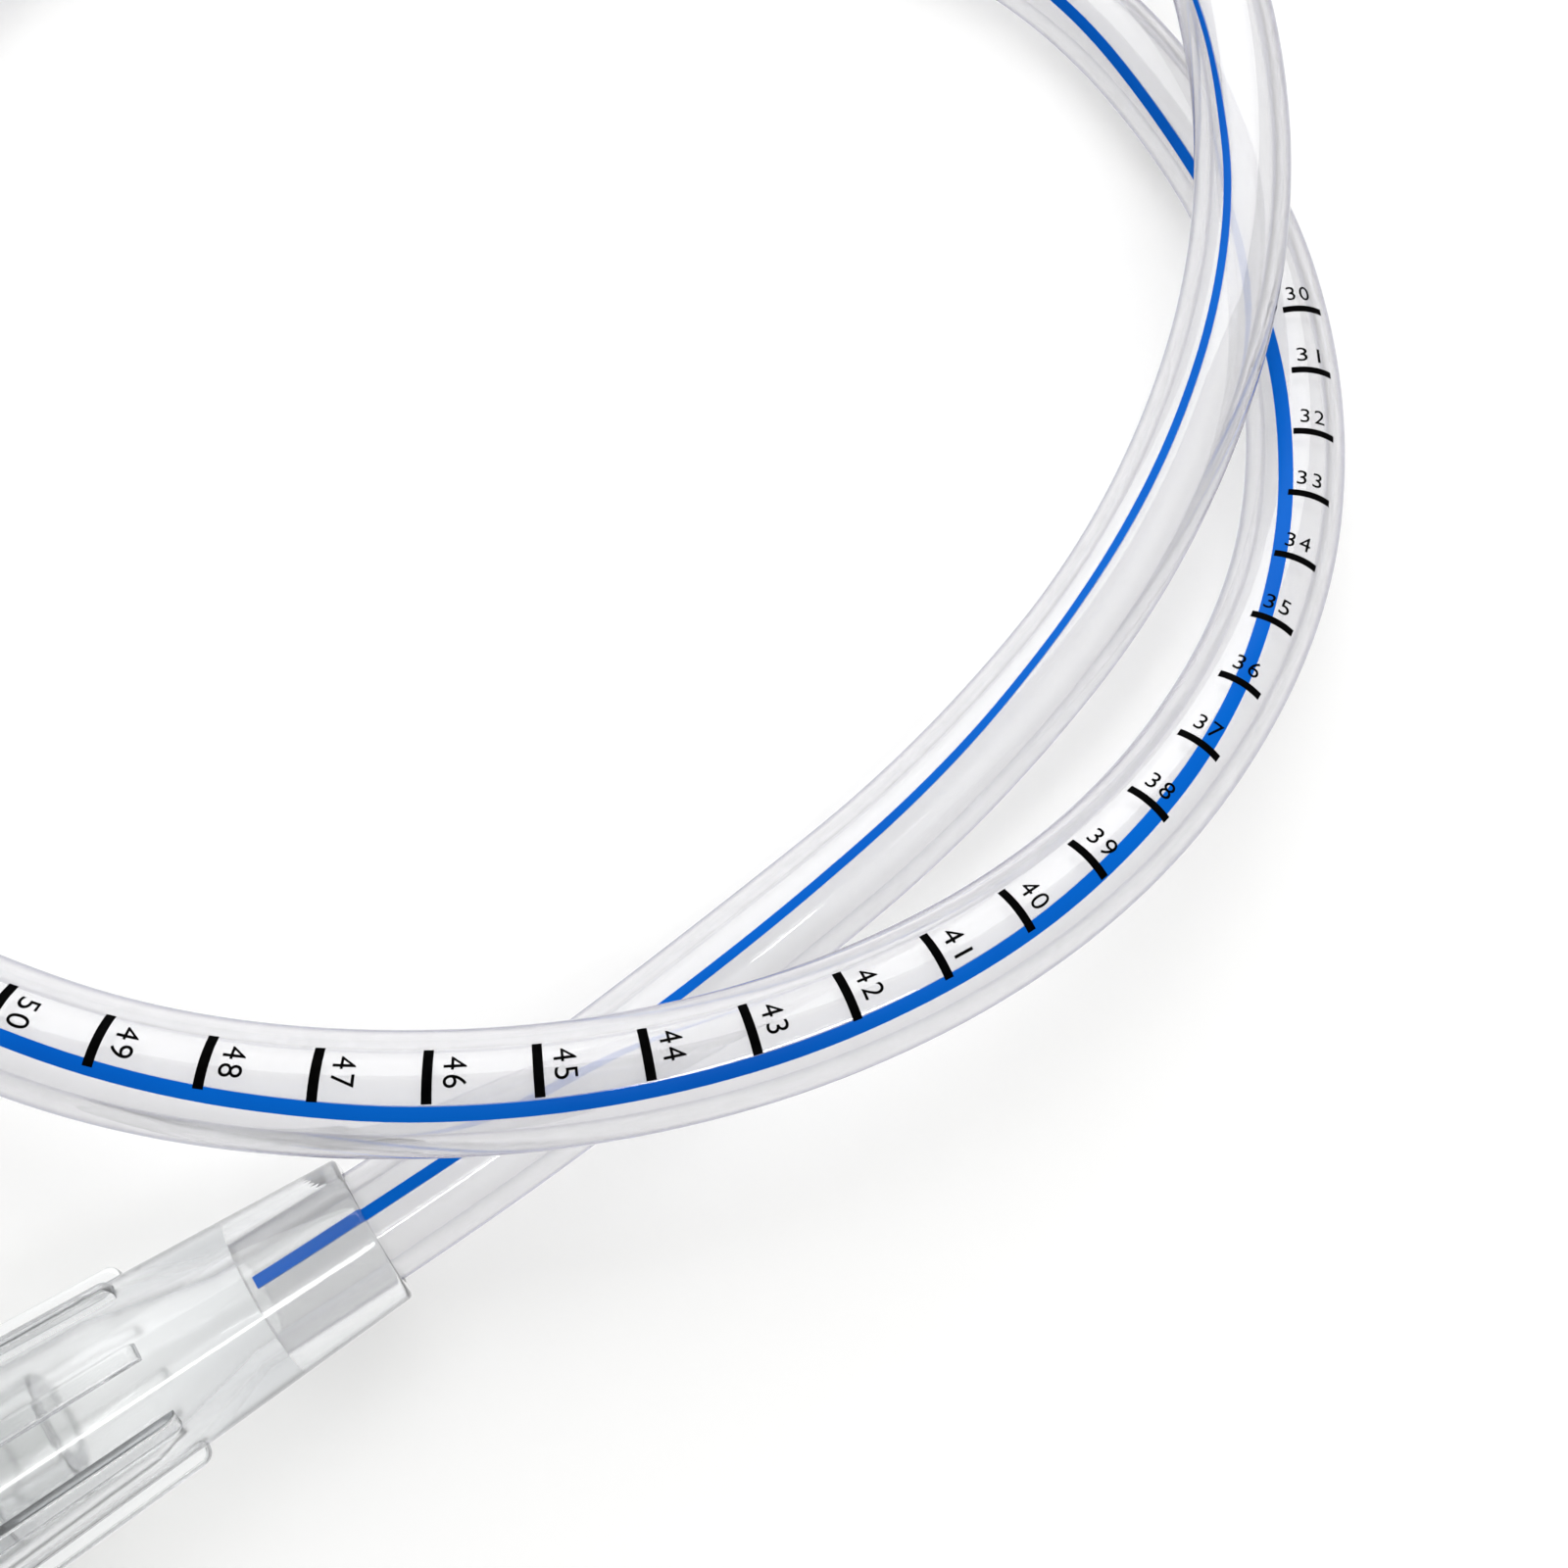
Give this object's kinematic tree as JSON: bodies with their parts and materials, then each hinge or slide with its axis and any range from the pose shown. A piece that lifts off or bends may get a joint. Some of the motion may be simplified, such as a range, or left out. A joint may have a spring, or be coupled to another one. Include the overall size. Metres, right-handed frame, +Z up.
{
  "type": "bariatric bougie",
  "caption": "Clear flexible calibration tube with a rounded closed tip, side eyes, blue stripe and centimetre marks, bonded into a ribbed funnel connector with a suction adapter.",
  "frame": {"origin": "bottom centre of the whole object as it lies on a flat surface", "axes": "+Z up, +Y along the loop's longer side, away from the connector"},
  "size_m": [0.219, 0.2974, 0.037],
  "materials": {
    "clear_pvc": "clear soft PVC, smooth and glossy",
    "clear_moulding": "clear moulded plastic, glossy",
    "clear_adapter": "clear rigid moulded plastic, glossy",
    "blue_stripe": "blue stripe in the tube's wall, seen through clear plastic",
    "black_print": "black printed ink"
  },
  "bodies": {
    "root": {"bougie_tube": "clear_pvc", "funnel_connector": "clear_moulding", "suction_adapter": "clear_adapter"}
  },
  "joints": []
}
